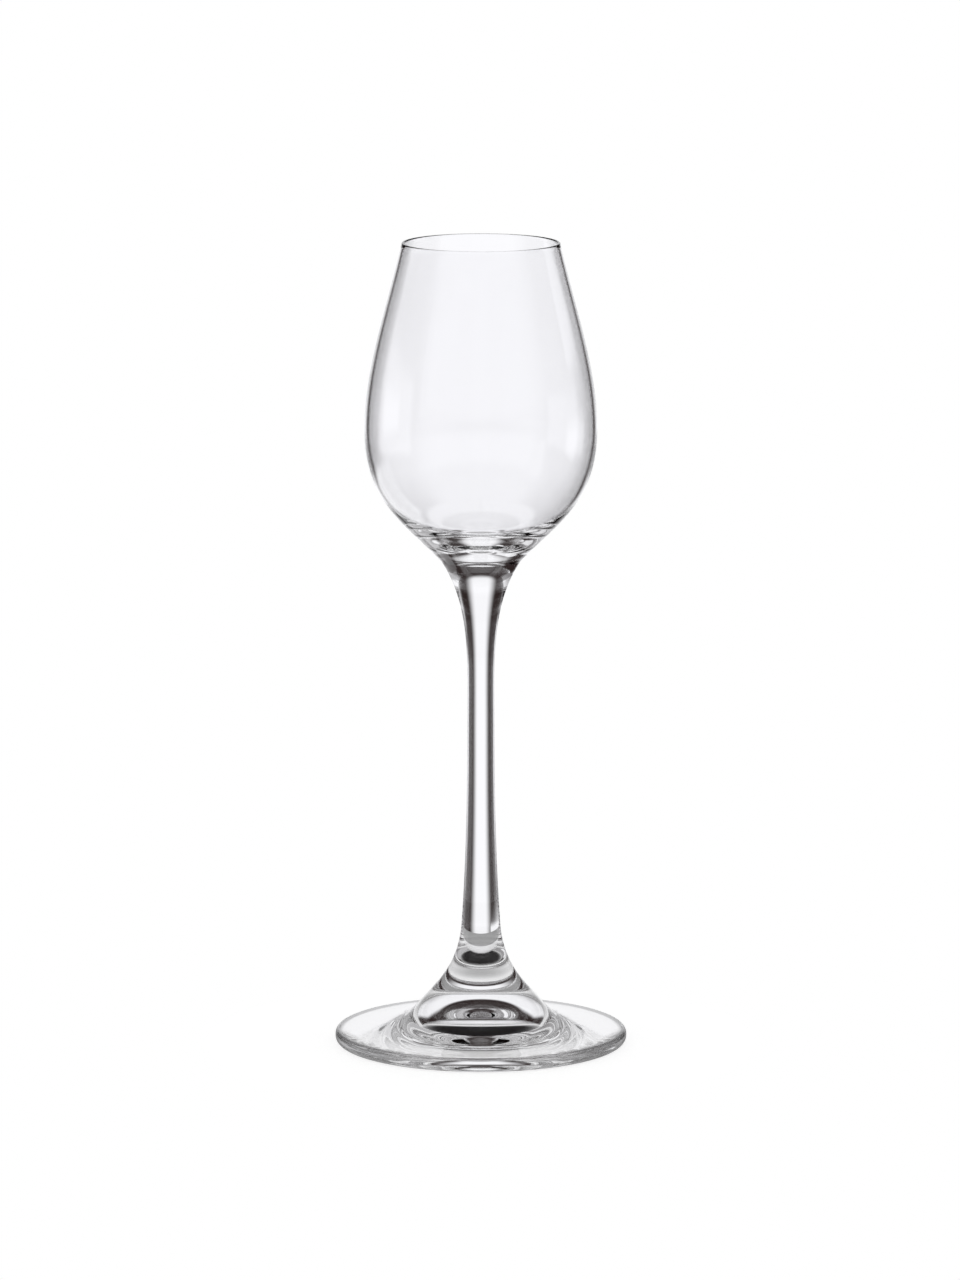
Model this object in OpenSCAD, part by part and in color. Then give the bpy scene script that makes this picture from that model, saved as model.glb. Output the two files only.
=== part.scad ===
// Long-stemmed sherry glass of clear colourless glass, in millimetres.
// A blown tulip bowl, a drawn stem and a pressed round foot, fused end to end on flat round faces.
// +Z points up along the axis of the glass, and the origin is the middle of the face that it stands on.

/* [Foot] */
// Diameter of the foot at its edge
foot_d = 63.4; // [54:0.1:76]
// Thickness of the foot at its edge
edge_h = 3; // [2.8:0.1:4.5]
// Radius of the fire-polished upper corner of the edge
edge_top_round = 1.2; // [0.4:0.1:1.4]
// Radius of the fire-polished lower corner of the edge
edge_under_round = 1.4; // [0.8:0.1:1.6]
// Angle of the disc's top where it leaves the edge, in degrees from level
disc_angle = 4; // [2:1:8]
// Width of the flat ring that the glass stands on
rest_ring_w = 3; // [2:0.5:6]
// Diameter of the round dimple in the middle of the underside
dimple_d = 26; // [20:0.5:30]
// Height of the dimple's edge, up to which the underside rises from the ring
dimple_edge_h = 1.6; // [1:0.1:2.4]
// Height of the dimple's crown
dimple_crown_h = 7.5; // [5:0.1:8.5]
// Height of the conical boss, where the stem is fused on
boss_h = 11.7; // [9:0.1:14]

/* [Stem] */
// Length of the stem between its two fused faces
stem_l = 94.3; // [78:0.1:110]
// Diameter of the fused face between foot and stem
foot_joint_d = 21.4; // [18:0.1:25]
// Angle of the outline at that face, in degrees from level, shared by foot and stem
foot_joint_angle = 46; // [40:1:54]
// Height above the foot's face where the lower flare has become a shaft
flare_h = 14.3; // [11:0.1:18]
// Diameter of the shaft there
flare_d = 8.5; // [7.4:0.1:10]
// Angle of the shaft's outline there, in degrees from level
flare_angle = 86; // [84:1:88]
// Height above the foot's face of the narrowest place
waist_h = 56.3; // [46:0.1:64]
// Diameter at the narrowest place
waist_d = 5.9; // [4.8:0.1:7]
// Angle of the outline below the bowl's face, in degrees from level
neck_angle = 57; // [50:1:66]

/* [Bowl] */
// Height of the bowl from its fused face to the rim
bowl_h = 69; // [58:0.1:80]
// Diameter of the fused face between stem and bowl
bowl_joint_d = 17.2; // [14:0.1:20]
// Angle of the bowl's outline above that face, in degrees from level
base_angle = 47; // [42:1:54]
// Height of the widest place above the fused face
belly_h = 28.5; // [24:0.1:34]
// Diameter at the widest place
belly_d = 50.1; // [44:0.1:58]
// Outside diameter of the mouth
mouth_d = 34.1; // [29:0.1:40]
// Angle of the wall at the mouth, in degrees from level
mouth_angle = 77.5; // [72:0.5:82]
// Thickness of the fire-polished rim
rim_t = 0.6; // [0.5:0.1:1.6]
// Thickness of the wall at the widest place
wall_t = 0.8; // [0.6:0.1:1.8]
// Thickness of the solid glass from the fused face up to the inner floor
floor_t = 3.6; // [2.6:0.1:8]

/* [Hidden] */

glass_colour = [0.9, 0.93, 0.95, 0.45];
curve_steps = 20;
corner_steps = 6;
round_facets = 96;

// How far each curve's two handles reach, as shares of the straight distance between its ends
disc_shares = [0.74, 0.36];
flare_shares = [0.22, 0.46];
shaft_shares = [0.33, 0.33];
neck_shares = [0.39, 0.32];
base_shares = [0.35, 0.47];
upper_shares = [0.33, 0.33];
lower_inside_shares = [0.4, 0.44];

foot_r = foot_d / 2;
foot_joint_r = foot_joint_d / 2;
flare_r = flare_d / 2;
waist_r = waist_d / 2;
bowl_joint_r = bowl_joint_d / 2;
belly_r = belly_d / 2;
mouth_r = mouth_d / 2;
rim_r = rim_t / 2;

foot_joint_z = boss_h;
flare_z = foot_joint_z + flare_h;
waist_z = foot_joint_z + waist_h;
bowl_joint_z = foot_joint_z + stem_l;
belly_z = bowl_joint_z + belly_h;
floor_z = bowl_joint_z + floor_t;
mouth_z = bowl_joint_z + bowl_h - rim_r;

rest_outer_r = foot_r - edge_under_round;
rest_inner_r = rest_outer_r - rest_ring_w;
dimple_r = dimple_d / 2;
dimple_rise = dimple_crown_h - dimple_edge_h;
dome_r = (dimple_r * dimple_r + dimple_rise * dimple_rise) / (2 * dimple_rise);
dome_angle = asin(dimple_r / dome_r);

// Directions in the half plane of the outline, as radius and height
function upright() = [0, 1];
function downright() = [0, -1];
function level_in() = [-1, 0];
function rising_out(angle) = [cos(angle), sin(angle)];
function rising_in(angle) = [-cos(angle), sin(angle)];

// Smooth curve from a to b that leaves a and reaches b in the given directions
function sweep(a, direction_a, b, direction_b, handle_shares) =
    let (span = norm(b - a))
    let (p = a + handle_shares[0] * span * direction_a)
    let (q = b - handle_shares[1] * span * direction_b)
    [for (i = [0 : curve_steps])
        let (t = i / curve_steps)
        let (s = 1 - t)
        s * s * s * a + 3 * s * s * t * p + 3 * s * t * t * q + t * t * t * b];

// Round corner about a centre, counted in quarter turns from the outward direction
function corner(centre, radius, first_quarter, quarters) =
    [for (i = [0 : corner_steps])
        centre + radius * rising_out(90 * (first_quarter + quarters * i / corner_steps))];

// Dome of the dimple under the foot, from its crown out to its edge
function dimple() =
    [for (i = [0 : curve_steps])
        let (angle = dome_angle * i / curve_steps)
        [dome_r * sin(angle), dome_r * cos(angle) - dome_r + dimple_crown_h]];

// Same points the other way round
function reversed(points) = [for (i = [len(points) - 1 : -1 : 0]) points[i]];

module turned(points) {
    color(glass_colour) rotate_extrude($fn = round_facets) polygon(points);
}

// Round foot: dimpled underside, flat standing ring, rounded edge, and a disc that sweeps up into the boss
module foot() {
    disc_edge = [foot_r - edge_top_round, edge_h];
    under_centre = [rest_outer_r, edge_under_round];
    top_centre = [foot_r - edge_top_round, edge_h - edge_top_round];
    boss_edge = [foot_joint_r, foot_joint_z];
    turned(concat(
        dimple(),
        [[rest_inner_r, 0]],
        corner(under_centre, edge_under_round, -1, 1),
        corner(top_centre, edge_top_round, 0, 1),
        sweep(disc_edge, rising_in(disc_angle), boss_edge, rising_in(foot_joint_angle), disc_shares),
        [[0, foot_joint_z]]
    ));
}

// Drawn stem: a flare on the boss, a slim shaft and a trumpet that carries the bowl
module stem() {
    foot_edge = [foot_joint_r, foot_joint_z];
    shaft_start = [flare_r, flare_z];
    waist = [waist_r, waist_z];
    bowl_edge = [bowl_joint_r, bowl_joint_z];
    turned(concat(
        [[0, foot_joint_z]],
        sweep(foot_edge, rising_in(foot_joint_angle), shaft_start, rising_in(flare_angle), flare_shares),
        sweep(shaft_start, rising_in(flare_angle), waist, upright(), shaft_shares),
        sweep(waist, upright(), bowl_edge, rising_out(neck_angle), neck_shares),
        [[0, bowl_joint_z]]
    ));
}

// Blown bowl: round inner floor, tulip wall that closes in to the mouth, and a rounded rim
module bowl() {
    base_edge = [bowl_joint_r, bowl_joint_z];
    belly_outside = [belly_r, belly_z];
    belly_inside = [belly_r - wall_t, belly_z];
    mouth_outside = [mouth_r, mouth_z];
    mouth_inside = [mouth_r - rim_t, mouth_z];
    rim_centre = [mouth_r - rim_r, mouth_z];
    floor_middle = [0, floor_z];
    turned(concat(
        [[0, bowl_joint_z]],
        sweep(base_edge, rising_out(base_angle), belly_outside, upright(), base_shares),
        sweep(belly_outside, upright(), mouth_outside, rising_in(mouth_angle), upper_shares),
        corner(rim_centre, rim_r, 0, 2),
        reversed(sweep(belly_inside, upright(), mouth_inside, rising_in(mouth_angle), upper_shares)),
        sweep(belly_inside, downright(), floor_middle, level_in(), lower_inside_shares)
    ));
}

foot();
stem();
bowl();
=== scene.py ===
"""Looks of a long-stemmed sherry glass: three fused pieces of clear glass in a bright studio."""

import logging
import math
from dataclasses import dataclass
from enum import Enum

import bpy
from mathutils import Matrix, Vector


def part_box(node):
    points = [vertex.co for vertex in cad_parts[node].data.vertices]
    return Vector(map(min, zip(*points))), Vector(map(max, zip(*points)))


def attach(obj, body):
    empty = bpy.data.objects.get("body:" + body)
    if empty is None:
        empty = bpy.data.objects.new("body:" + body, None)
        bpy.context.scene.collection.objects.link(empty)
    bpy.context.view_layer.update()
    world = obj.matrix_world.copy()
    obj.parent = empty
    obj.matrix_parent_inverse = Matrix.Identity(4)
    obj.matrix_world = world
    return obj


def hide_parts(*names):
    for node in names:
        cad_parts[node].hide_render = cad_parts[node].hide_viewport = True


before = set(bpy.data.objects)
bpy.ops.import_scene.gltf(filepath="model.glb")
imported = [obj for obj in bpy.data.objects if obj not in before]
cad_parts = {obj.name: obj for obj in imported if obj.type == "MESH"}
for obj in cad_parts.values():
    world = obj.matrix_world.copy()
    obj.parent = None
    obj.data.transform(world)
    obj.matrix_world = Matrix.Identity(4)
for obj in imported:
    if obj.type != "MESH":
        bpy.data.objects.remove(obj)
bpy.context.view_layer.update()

LOG = logging.getLogger("sherry_glass")
MM = 0.001
BODY = "root"
WHITE = "FFFFFF"

# Places that lie closer together than this are the same
SAME_PLACE = 0.001 * MM
# A surface that bends by less than this along an edge is shaded smooth, in degrees
SMOOTH_BEND = 38.0

# Sizes that two pieces share at a fused face, and the slope of their outline there in degrees
FOOT_JOINT_R = 10.7 * MM
FOOT_JOINT_SLOPE = 46.0
BOWL_JOINT_R = 8.6 * MM

# Numbers of a Mix node's colour sockets, whose names it uses more than once
MIX_A = 6
MIX_B = 7
MIX_RESULT = 2

Point = tuple[float, float]


class Heading(float, Enum):
    """Directions in the half plane that a piece is turned from, in degrees."""

    DOWN = -90.0
    OUTWARD = 0.0
    UP = 90.0
    INWARD = 180.0


class FaceKind(Enum):
    """Which material slot a face of a glass piece takes."""

    POLISHED = 0
    FUSED = 1


def linear_colour(hex_code: str) -> tuple[float, float, float, float]:
    """Turn an sRGB hex colour into the linear values that shaders take.

    Args:
        hex_code: Six hex digits, as in "F4F6FA".

    Returns:
        Linear red, green, blue and an alpha of one.
    """
    channels = []
    for start in (0, 2, 4):
        share = int(hex_code[start:start + 2], 16) / 255
        channels.append(share / 12.92 if share <= 0.04045 else ((share + 0.055) / 1.055) ** 2.4)
    return (*channels, 1.0)


def add_node(tree: bpy.types.NodeTree, kind: str, settings: dict, links: dict) -> bpy.types.Node:
    """Add a node, set its properties and input values, and link sockets into it.

    Args:
        tree: Node tree that takes the node.
        kind: Blender's name of the node's type.
        settings: Property names, or input names or numbers, to their values.
        links: Input names or numbers to the sockets that feed them.

    Returns:
        The new node.
    """
    node = tree.nodes.new(kind)
    for key, value in settings.items():
        if isinstance(key, str) and hasattr(node, key):
            setattr(node, key, value)
        else:
            node.inputs[key].default_value = value
    for key, socket in links.items():
        tree.links.new(socket, node.inputs[key])
    return node


def step(heading: float, length: float) -> Point:
    """Give a step of a length along a heading in degrees."""
    return (length * math.cos(math.radians(heading)), length * math.sin(math.radians(heading)))


def sweep(a: Point, heading_a: float, b: Point, heading_b: float, shares: Point, count: int) -> list[Point]:
    """Draw a smooth curve that leaves a and reaches b at the given headings.

    Args:
        a: Start, as radius and height.
        heading_a: Direction at the start, in degrees.
        b: End, as radius and height.
        heading_b: Direction at the end, in degrees.
        shares: How far the two handles reach, as shares of the distance from a to b.
        count: Number of stretches.

    Returns:
        The curve's points, both ends among them.
    """
    span = math.dist(a, b)
    out, back = step(heading_a, shares[0] * span), step(heading_b, shares[1] * span)
    p = (a[0] + out[0], a[1] + out[1])
    q = (b[0] - back[0], b[1] - back[1])
    points = []
    for i in range(count + 1):
        t = i / count
        s = 1 - t
        weights = (s ** 3, 3 * s * s * t, 3 * s * t * t, t ** 3)
        points.append(tuple(sum(w * c[k] for w, c in zip(weights, (a, p, q, b))) for k in (0, 1)))
    return points


def corner(centre: Point, radius: float, start: float, end: float, count: int) -> list[Point]:
    """Draw a round corner about a centre.

    Args:
        centre: Middle of the arc, as radius and height.
        radius: Radius of the arc.
        start: Direction from the centre to the first point, in degrees.
        end: Direction from the centre to the last point, in degrees.
        count: Number of stretches.

    Returns:
        The arc's points, both ends among them.
    """
    points = []
    for i in range(count + 1):
        reach = step(start + (end - start) * i / count, radius)
        points.append((centre[0] + reach[0], centre[1] + reach[1]))
    return points


@dataclass(frozen=True)
class ClearGlass:
    """Soda-lime crystal, blown, drawn or pressed and then fire polished: clear, colourless and very smooth.

    The eye sees almost only what lies behind it, bent at every slope, with dark edges and sharp highlights.
    """

    name: str
    tint: str = "FEFEFF"
    ior: float = 1.52
    roughness: float = 0.0
    ripple_mm: float = 6.0
    ripple_depth_mm: float = 0.002
    ripple_detail: float = 1.0
    ripple_roughness: float = 0.4

    def material(self) -> bpy.types.Material:
        """Make the glass, with the slight ripples that a fire-polished surface has.

        Returns:
            The new material.
        """
        material = bpy.data.materials.new(self.name)
        material.use_nodes = True
        tree = material.node_tree
        shader = tree.nodes["Principled BSDF"]
        shader.inputs["Base Color"].default_value = linear_colour(self.tint)
        shader.inputs["Roughness"].default_value = self.roughness
        shader.inputs["IOR"].default_value = self.ior
        shader.inputs["Transmission Weight"].default_value = 1.0
        place = add_node(tree, "ShaderNodeTexCoord", {}, {})
        ripple = add_node(
            tree, "ShaderNodeTexNoise",
            {"Scale": 1 / (self.ripple_mm * MM), "Detail": self.ripple_detail,
             "Roughness": self.ripple_roughness},
            {"Vector": place.outputs["Object"]})
        bump = add_node(
            tree, "ShaderNodeBump",
            {"Strength": 1.0, "Distance": self.ripple_depth_mm * MM},
            {"Height": ripple.outputs["Fac"]})
        tree.links.new(bump.outputs["Normal"], shader.inputs["Normal"])
        return material


@dataclass(frozen=True)
class FusedSeam:
    """Glass fused to glass: the two pieces are one there, so light crosses the seam unbent."""

    name: str = "fused_glass_seam"
    tint: str = WHITE
    alpha: float = 0.0

    def material(self) -> bpy.types.Material:
        """Make the see-through seam.

        Returns:
            The new material.
        """
        material = bpy.data.materials.new(self.name)
        material.use_nodes = True
        shader = material.node_tree.nodes["Principled BSDF"]
        shader.inputs["Base Color"].default_value = linear_colour(self.tint)
        shader.inputs["Alpha"].default_value = self.alpha
        return material


@dataclass(frozen=True)
class WhiteBoard:
    """Painted matt board: white to the camera; to the glass it shows painted shade of the foot, dark under
    the boss and dim past the ring.

    The glow is how brightly the board shows by itself, from its middle outwards; its dark middle and dim edge
    are painted shadow of the foot.
    """

    name: str = "matt_white_board"
    colour: str = "B0B0B0"
    # Darker copy of the board's colour that only the glass sees: painted shade
    glass_painted_shade_colour: str = "303030"
    roughness: float = 0.8
    open_glow: float = 0.79
    # Painted shade under the boss, as the glass sees it: the glow in the middle, and the radii over which it
    # rises to the ring glow
    boss_painted_shade_glow: float = 0.0
    ring_glow: float = 0.85
    boss_painted_shade_inner: float = 10.0 * MM
    boss_painted_shade_outer: float = 18.0 * MM
    # Painted shadow past the foot's standing ring: the radii of its fade, and the share of the glow left
    # beyond it
    ring_painted_shade_inner: float = 29.5 * MM
    ring_painted_shade_outer: float = 30.5 * MM
    ring_painted_shade_share: float = 0.35

    def material(self) -> bpy.types.Material:
        """Make the board, which the camera and the glass see differently.

        Returns:
            The new material.
        """
        material = bpy.data.materials.new(self.name)
        material.use_nodes = True
        tree = material.node_tree
        shader = tree.nodes["Principled BSDF"]
        shader.inputs["Roughness"].default_value = self.roughness
        shader.inputs["Emission Color"].default_value = linear_colour(WHITE)
        path = add_node(tree, "ShaderNodeLightPath", {}, {})
        place = add_node(tree, "ShaderNodeTexCoord", {}, {})
        radius = add_node(tree, "ShaderNodeVectorMath", {"operation": "LENGTH"}, {0: place.outputs["Object"]})
        # Painted shade under the boss: the glow rises from dark in the middle to the ring glow
        middle = add_node(
            tree, "ShaderNodeMapRange",
            {"interpolation_type": "SMOOTHSTEP", "From Min": self.boss_painted_shade_inner, "From Max": self.boss_painted_shade_outer,
             "To Min": self.boss_painted_shade_glow, "To Max": self.ring_glow},
            {"Value": radius.outputs["Value"]})
        # Painted shadow past the standing ring: the glow drops to a share of itself
        edge = add_node(
            tree, "ShaderNodeMapRange",
            {"interpolation_type": "SMOOTHSTEP", "From Min": self.ring_painted_shade_inner, "From Max": self.ring_painted_shade_outer,
             "To Min": 1.0, "To Max": self.ring_painted_shade_share},
            {"Value": radius.outputs["Value"]})
        shaded = add_node(tree, "ShaderNodeMath", {"operation": "MULTIPLY"},
                          {0: middle.outputs["Result"], 1: edge.outputs["Result"]})
        glow = add_node(tree, "ShaderNodeMix", {"B": self.open_glow},
                        {"Factor": path.outputs["Is Camera Ray"], "A": shaded.outputs[0]})
        # The camera sees the board in its plain colour, the glass in the darker painted-shade colour
        ends = {MIX_A: linear_colour(self.glass_painted_shade_colour), MIX_B: linear_colour(self.colour)}
        paint = add_node(tree, "ShaderNodeMix", {"data_type": "RGBA", **ends},
                         {0: path.outputs["Is Camera Ray"]})
        tree.links.new(paint.outputs[MIX_RESULT], shader.inputs["Base Color"])
        tree.links.new(glow.outputs["Result"], shader.inputs["Emission Strength"])
        return material


def turn_on_lathe(name: str, outline: list[Point], steps: int) -> bpy.types.Object:
    """Draw an outline edge by edge and spin it round the axis into a closed piece.

    Args:
        name: Name of the piece.
        outline: Radius and height of each point, from the axis round to the axis again.
        steps: Number of stretches round the axis.

    Returns:
        The piece, at the origin, with its place in its mesh.
    """
    bpy.ops.object.select_all(action="DESELECT")
    # A small plane shrinks to one point, which is drawn out along the outline
    bpy.ops.mesh.primitive_plane_add(size=MM)
    piece = bpy.context.object
    piece.name = name
    bpy.ops.object.mode_set(mode="EDIT")
    bpy.ops.mesh.select_mode(type="VERT")
    bpy.ops.mesh.select_all(action="SELECT")
    bpy.ops.mesh.merge(type="CENTER")
    bpy.ops.transform.translate(value=(outline[0][0], 0.0, outline[0][1]))
    for before, after in zip(outline, outline[1:]):
        stride = (after[0] - before[0], 0.0, after[1] - before[1])
        bpy.ops.mesh.extrude_region_move(TRANSFORM_OT_translate={"value": stride})
    bpy.ops.mesh.select_all(action="SELECT")
    bpy.ops.mesh.spin(steps=steps, angle=2 * math.pi, center=(0, 0, 0), axis=(0, 0, 1))
    bpy.ops.mesh.select_all(action="SELECT")
    bpy.ops.mesh.remove_doubles(threshold=SAME_PLACE)
    bpy.ops.mesh.normals_make_consistent(inside=False)
    bpy.ops.mesh.select_all(action="DESELECT")
    bpy.ops.object.mode_set(mode="OBJECT")
    bpy.ops.object.shade_smooth_by_angle(angle=math.radians(SMOOTH_BEND))
    return piece


@dataclass
class GlassPiece:
    """What the three pieces of the glass share: a turned mesh, its finish and its place in the frame."""

    node: str
    steps: int = 224
    curve_count: int = 40
    corner_count: int = 10

    def outline(self) -> list[Point]:
        """Give the points that the piece is turned from."""
        raise NotImplementedError

    def seams(self) -> list[float]:
        """Give the heights of the faces that are fused to a neighbour."""
        raise NotImplementedError

    def build(self, finish: ClearGlass, seam: bpy.types.Material) -> bpy.types.Object:
        """Turn the piece, dress it and set it in its node's place.

        Args:
            finish: Finish of the polished surface.
            seam: Material of the fused faces.

        Returns:
            The finished piece.
        """
        piece = turn_on_lathe("glass_" + self.node, self.outline(), self.steps)
        piece.data.materials.append(finish.material())
        piece.data.materials.append(seam)
        heights = self.seams()
        for polygon in piece.data.polygons:
            fused = any(abs(polygon.center.z - height) < SAME_PLACE for height in heights)
            polygon.material_index = (FaceKind.FUSED if fused else FaceKind.POLISHED).value
        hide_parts(self.node)
        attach(piece, BODY)
        return piece


@dataclass
class Foot(GlassPiece):
    """Round foot, pressed and spun: dimpled underside, flat standing ring, rounded edge and conical boss."""

    node: str = "foot"
    edge_h: float = 3.0 * MM
    edge_top_round: float = 1.2 * MM
    edge_under_round: float = 1.4 * MM
    disc_slope: float = 4.0
    disc_shares: Point = (0.74, 0.36)
    rest_ring_w: float = 3.0 * MM
    dimple_r: float = 13.0 * MM
    dimple_low: float = 1.6 * MM
    dimple_high: float = 7.5 * MM

    def outline(self) -> list[Point]:
        """Give the points that the foot is turned from.

        Returns:
            Radius and height of each point, from the crown of the dimple round to the middle of the boss.
        """
        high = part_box(self.node)[1]
        rise = self.dimple_high - self.dimple_low
        dome_r = (self.dimple_r ** 2 + rise ** 2) / (2 * rise)
        dome_reach = math.degrees(math.asin(self.dimple_r / dome_r))
        dimple = corner((0.0, self.dimple_high - dome_r), dome_r,
                        Heading.UP, Heading.UP - dome_reach, self.curve_count)
        rest_outer = high.x - self.edge_under_round
        rest_inner = rest_outer - self.rest_ring_w
        under = corner((rest_outer, self.edge_under_round), self.edge_under_round,
                       Heading.DOWN, Heading.OUTWARD, self.corner_count)
        disc_r = high.x - self.edge_top_round
        top = corner((disc_r, self.edge_h - self.edge_top_round), self.edge_top_round,
                     Heading.OUTWARD, Heading.UP, self.corner_count)
        disc = sweep((disc_r, self.edge_h), Heading.INWARD - self.disc_slope,
                     (FOOT_JOINT_R, high.z), Heading.INWARD - FOOT_JOINT_SLOPE,
                     self.disc_shares, self.curve_count)
        return [*dimple, (rest_inner, 0.0), *under, *top, *disc[1:], (0.0, high.z)]

    def seams(self) -> list[float]:
        """Give the height of the face that carries the stem."""
        return [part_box(self.node)[1].z]


@dataclass
class Stem(GlassPiece):
    """Drawn stem: a flare on the foot, a slim shaft and a trumpet that carries the bowl."""

    node: str = "stem"
    flare_h: float = 14.3 * MM
    flare_r: float = 4.25 * MM
    flare_slope: float = 86.0
    waist_h: float = 56.3 * MM
    waist_r: float = 2.95 * MM
    neck_slope: float = 57.0
    flare_shares: Point = (0.22, 0.46)
    shaft_shares: Point = (0.33, 0.33)
    neck_shares: Point = (0.39, 0.32)

    def outline(self) -> list[Point]:
        """Give the points that the stem is turned from.

        Returns:
            Radius and height of each point, from the middle of the lower face to that of the upper one.
        """
        low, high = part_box(self.node)
        flare_top = (self.flare_r, low.z + self.flare_h)
        flare_heading = Heading.INWARD - self.flare_slope
        waist = (self.waist_r, low.z + self.waist_h)
        flare = sweep((FOOT_JOINT_R, low.z), Heading.INWARD - FOOT_JOINT_SLOPE, flare_top, flare_heading,
                      self.flare_shares, self.curve_count)
        shaft = sweep(flare_top, flare_heading, waist, Heading.UP, self.shaft_shares, self.curve_count)
        neck = sweep(waist, Heading.UP, (BOWL_JOINT_R, high.z), self.neck_slope,
                     self.neck_shares, self.curve_count)
        return [(0.0, low.z), *flare, *shaft[1:], *neck[1:], (0.0, high.z)]

    def seams(self) -> list[float]:
        """Give the heights of the two end faces."""
        low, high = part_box(self.node)
        return [low.z, high.z]


@dataclass
class Bowl(GlassPiece):
    """Blown bowl: thick base, tulip wall that closes in to the mouth, and a fire-polished rim."""

    node: str = "bowl"
    base_slope: float = 47.0
    belly_h: float = 28.5 * MM
    mouth_r: float = 17.05 * MM
    mouth_slope: float = 77.5
    rim_t: float = 0.6 * MM
    wall_t: float = 0.8 * MM
    floor_t: float = 3.6 * MM
    base_shares: Point = (0.35, 0.47)
    upper_shares: Point = (0.33, 0.33)
    lower_inside_shares: Point = (0.40, 0.44)

    def outline(self) -> list[Point]:
        """Give the points that the bowl is turned from.

        Returns:
            Radius and height of each point, from the middle of the lower face over the rim to the floor.
        """
        low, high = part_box(self.node)
        rim_r = self.rim_t / 2
        mouth_z = high.z - rim_r
        mouth_heading = Heading.INWARD - self.mouth_slope
        belly_z = low.z + self.belly_h
        outside, inside = (high.x, belly_z), (high.x - self.wall_t, belly_z)
        base = sweep((BOWL_JOINT_R, low.z), self.base_slope, outside, Heading.UP,
                     self.base_shares, self.curve_count)
        wall = sweep(outside, Heading.UP, (self.mouth_r, mouth_z), mouth_heading,
                     self.upper_shares, self.curve_count)
        rim = corner((self.mouth_r - rim_r, mouth_z), rim_r,
                     Heading.OUTWARD, Heading.INWARD, self.corner_count)
        lining = sweep(inside, Heading.UP, (self.mouth_r - self.rim_t, mouth_z), mouth_heading,
                       self.upper_shares, self.curve_count)[::-1]
        floor = sweep(inside, Heading.DOWN, (0.0, low.z + self.floor_t), Heading.INWARD,
                      self.lower_inside_shares, self.curve_count)
        return [(0.0, low.z), *base, *wall[1:], *rim[1:], *lining[1:], *floor[1:]]

    def seams(self) -> list[float]:
        """Give the height of the face that stands on the stem."""
        return [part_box(self.node)[0].z]


@dataclass
class PhotoCamera:
    """Long lens at the photograph's height, looking slightly down on the glass."""

    aside: float = -0.2 * MM
    distance: float = 1.586
    height: float = 0.360
    pitch: float = 9.71
    lens_mm: float = 209.4
    sensor_mm: float = 36.0
    clip_near: float = 0.05
    clip_far: float = 20.0

    def build(self) -> None:
        """Set the camera up and make it the scene's own."""
        data = bpy.data.cameras.new("photo_camera")
        data.lens = self.lens_mm
        data.sensor_width = self.sensor_mm
        data.clip_start = self.clip_near
        data.clip_end = self.clip_far
        camera = bpy.data.objects.new("photo_camera", data)
        camera.location = (self.aside, -self.distance, self.height)
        camera.rotation_euler = (math.radians(90 - self.pitch), 0.0, 0.0)
        bpy.context.scene.collection.objects.link(camera)
        bpy.context.scene.camera = camera


@dataclass(frozen=True)
class LightPatch:
    """Soft white panel of the studio, as the glass sees it, in degrees.

    The bearing runs clockwise from straight behind the glass, low and high are heights over the horizon, and
    the two softnesses are the widths of the fades at the sides and at the lower and upper edges.
    """

    bearing: float
    half_width: float
    low: float
    high: float
    level: float = 1.0
    side_soft: float = 5.0
    rise_soft: float = 5.0

    def mask(self, tree: bpy.types.NodeTree, turn: bpy.types.NodeSocket,
             rise: bpy.types.NodeSocket) -> bpy.types.NodeSocket:
        """Work out how bright the panel is in a direction.

        Args:
            tree: Node tree of the world.
            turn: Bearing of the direction, in radians.
            rise: Height of the direction over the horizon, in radians.

        Returns:
            The panel's level inside its edges, and zero outside.
        """
        offset = add_node(tree, "ShaderNodeMath",
                          {"operation": "SUBTRACT", 1: math.radians(self.bearing)}, {0: turn})
        wrapped = add_node(tree, "ShaderNodeMath", {"operation": "WRAP", 1: math.pi, 2: -math.pi},
                           {0: offset.outputs[0]})
        aside = add_node(tree, "ShaderNodeMath", {"operation": "ABSOLUTE"}, {0: wrapped.outputs[0]})
        # A fade with a negative width runs from light to dark
        edges = ((aside.outputs[0], self.half_width, -self.side_soft, self.level),
                 (rise, self.low, self.rise_soft, 1.0),
                 (rise, self.high, -self.rise_soft, 1.0))
        fades = []
        for angle, edge, soft, level in edges:
            limits = {"From Min": math.radians(edge - soft / 2), "From Max": math.radians(edge + soft / 2),
                      "To Max": level}
            fade = add_node(tree, "ShaderNodeMapRange", {"interpolation_type": "SMOOTHSTEP", **limits},
                            {"Value": angle})
            fades.append(fade.outputs["Result"])
        across, above, below = fades
        band = add_node(tree, "ShaderNodeMath", {"operation": "MULTIPLY"}, {0: above, 1: below})
        panel = add_node(tree, "ShaderNodeMath", {"operation": "MULTIPLY"}, {0: across, 1: band.outputs[0]})
        return panel.outputs[0]


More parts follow.
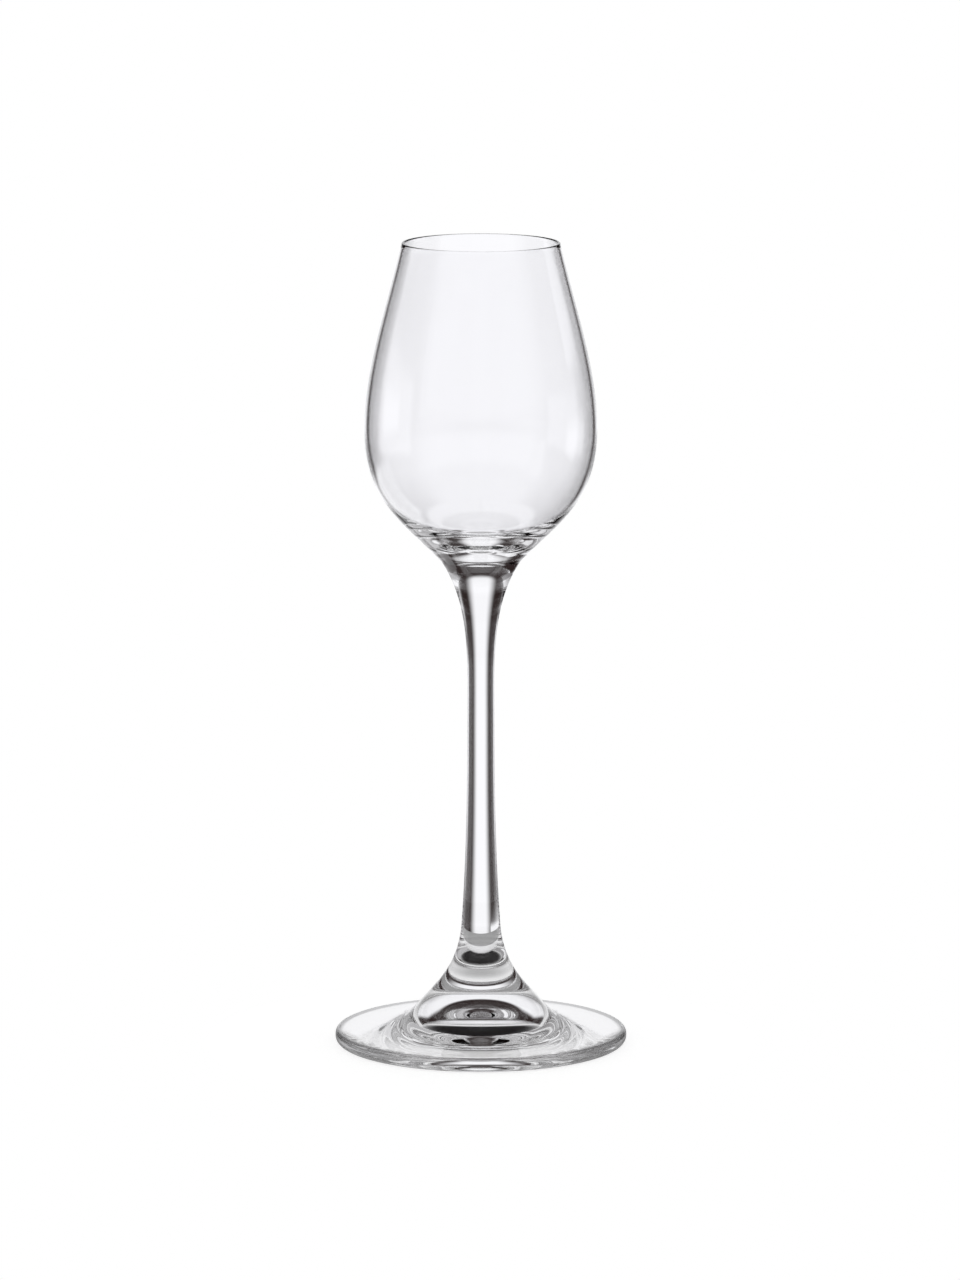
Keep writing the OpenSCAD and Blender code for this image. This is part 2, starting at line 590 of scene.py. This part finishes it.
@dataclass
class Studio:
    """Bright-field studio: white panels with dark gaps between them, round a small white board.

    The camera sees plain white, and matt surfaces get an even soft light. Only the glass shows the panels.
    """

    panel_colour: str = "FDFDFF"
    dark_colour: str = "2D2423"
    soft_colour: str = "BCBCBC"
    board_radius: float = 60.0 * MM
    board_gap: float = 0.05 * MM
    board_sides: int = 128
    glass_bounces: int = 40
    other_bounces: int = 16
    patches: tuple[LightPatch, ...] = (
        # Backdrop straight behind the glass
        LightPatch(bearing=0.0, half_width=18.0, low=-60.0, high=30.0, side_soft=18.0, rise_soft=8.0),
        # Strip at the left, and the backdrop of a view from the right
        LightPatch(bearing=-82.0, half_width=25.0, low=-16.0, high=9.0, side_soft=10.0, rise_soft=8.0),
        # Low strip at the right
        LightPatch(bearing=71.0, half_width=15.0, low=-16.0, high=-3.0, side_soft=10.0, rise_soft=10.0),
        # Dim walls at the left and the right
        LightPatch(bearing=-90.0, half_width=34.0, low=-30.0, high=40.0,
                   level=0.3, side_soft=18.0, rise_soft=14.0),
        LightPatch(bearing=90.0, half_width=34.0, low=-30.0, high=40.0,
                   level=0.3, side_soft=18.0, rise_soft=14.0),
        # White table in front, below the horizon
        LightPatch(bearing=180.0, half_width=70.0, low=-60.0, high=0.0, side_soft=50.0, rise_soft=14.0),
        # Wide window in front, more to the right
        LightPatch(bearing=145.0, half_width=95.0, low=0.0, high=35.0,
                   level=0.5, side_soft=8.0, rise_soft=14.0),
        # Low backdrops of a view from behind and of one from above
        LightPatch(bearing=135.0, half_width=23.0, low=-34.0, high=-6.0),
        LightPatch(bearing=-45.0, half_width=23.0, low=-50.0, high=-18.0, rise_soft=4.0),
        # Dim ceiling and white ground
        LightPatch(bearing=0.0, half_width=180.0, low=55.0, high=100.0, level=0.05, rise_soft=20.0),
        LightPatch(bearing=0.0, half_width=180.0, low=-100.0, high=-55.0),
    )

    def world(self) -> None:
        """Make the surroundings: plain white to the camera, panels and dark gaps to the glass."""
        world = bpy.data.worlds.new("bright_field_studio")
        bpy.context.scene.world = world
        world.use_nodes = True
        tree = world.node_tree
        tree.nodes.clear()
        place = add_node(tree, "ShaderNodeTexCoord", {}, {})
        axes = add_node(tree, "ShaderNodeSeparateXYZ", {}, {0: place.outputs["Generated"]})
        turn = add_node(tree, "ShaderNodeMath", {"operation": "ARCTAN2"},
                        {0: axes.outputs["X"], 1: axes.outputs["Y"]})
        rise = add_node(tree, "ShaderNodeMath", {"operation": "ARCSINE"}, {0: axes.outputs["Z"]})
        brightest, *masks = [patch.mask(tree, turn.outputs[0], rise.outputs[0]) for patch in self.patches]
        for mask in masks:
            brightest = add_node(tree, "ShaderNodeMath", {"operation": "MAXIMUM"},
                                 {0: brightest, 1: mask}).outputs[0]
        ends = {MIX_A: linear_colour(self.dark_colour), MIX_B: linear_colour(self.panel_colour)}
        panels = add_node(tree, "ShaderNodeMix", {"data_type": "RGBA", **ends}, {0: brightest})
        path = add_node(tree, "ShaderNodeLightPath", {}, {})
        glass = add_node(tree, "ShaderNodeMath", {"operation": "ADD", "use_clamp": True},
                         {0: path.outputs["Is Glossy Ray"], 1: path.outputs["Is Transmission Ray"]})
        around = add_node(tree, "ShaderNodeMix",
                          {"data_type": "RGBA", MIX_A: linear_colour(self.soft_colour)},
                          {0: glass.outputs[0], MIX_B: panels.outputs[MIX_RESULT]})
        seen = add_node(tree, "ShaderNodeMix", {"data_type": "RGBA", MIX_B: linear_colour(WHITE)},
                        {0: path.outputs["Is Camera Ray"], MIX_A: around.outputs[MIX_RESULT]})
        light = add_node(tree, "ShaderNodeBackground", {"Strength": 1.0}, {"Color": seen.outputs[MIX_RESULT]})
        add_node(tree, "ShaderNodeOutputWorld", {}, {"Surface": light.outputs["Background"]})

    def stand(self) -> None:
        """Lay the small round board that the glass stands on."""
        bpy.ops.object.select_all(action="DESELECT")
        bpy.ops.mesh.primitive_circle_add(vertices=self.board_sides, radius=self.board_radius,
                                          fill_type="NGON", location=(0.0, 0.0, -self.board_gap))
        floor = bpy.context.object
        floor.name = "white_stand"
        bpy.ops.object.transform_apply(location=True, rotation=True, scale=True)
        floor.data.materials.append(WhiteBoard().material())

    def build(self) -> None:
        """Set up the light, the stand and the colour handling."""
        self.world()
        self.stand()
        scene = bpy.context.scene
        scene.view_settings.view_transform = "Standard"
        scene.cycles.max_bounces = self.glass_bounces
        scene.cycles.transmission_bounces = self.glass_bounces
        scene.cycles.glossy_bounces = self.other_bounces
        scene.cycles.transparent_max_bounces = self.other_bounces


def main() -> None:
    """Build the camera, the studio and the three pieces of the glass, and log their face counts."""
    logging.basicConfig(level=logging.INFO, format="%(name)s: %(message)s")
    PhotoCamera().build()
    Studio().build()
    seam = FusedSeam().material()
    pieces = ((Foot(), ClearGlass("pressed_clear_glass")),
              (Stem(), ClearGlass("drawn_clear_glass")),
              (Bowl(), ClearGlass("blown_clear_glass")))
    for piece, finish in pieces:
        built = piece.build(finish, seam)
        LOG.info("%s: %d faces", built.name, len(built.data.polygons))


if __name__ == "__main__":
    main()
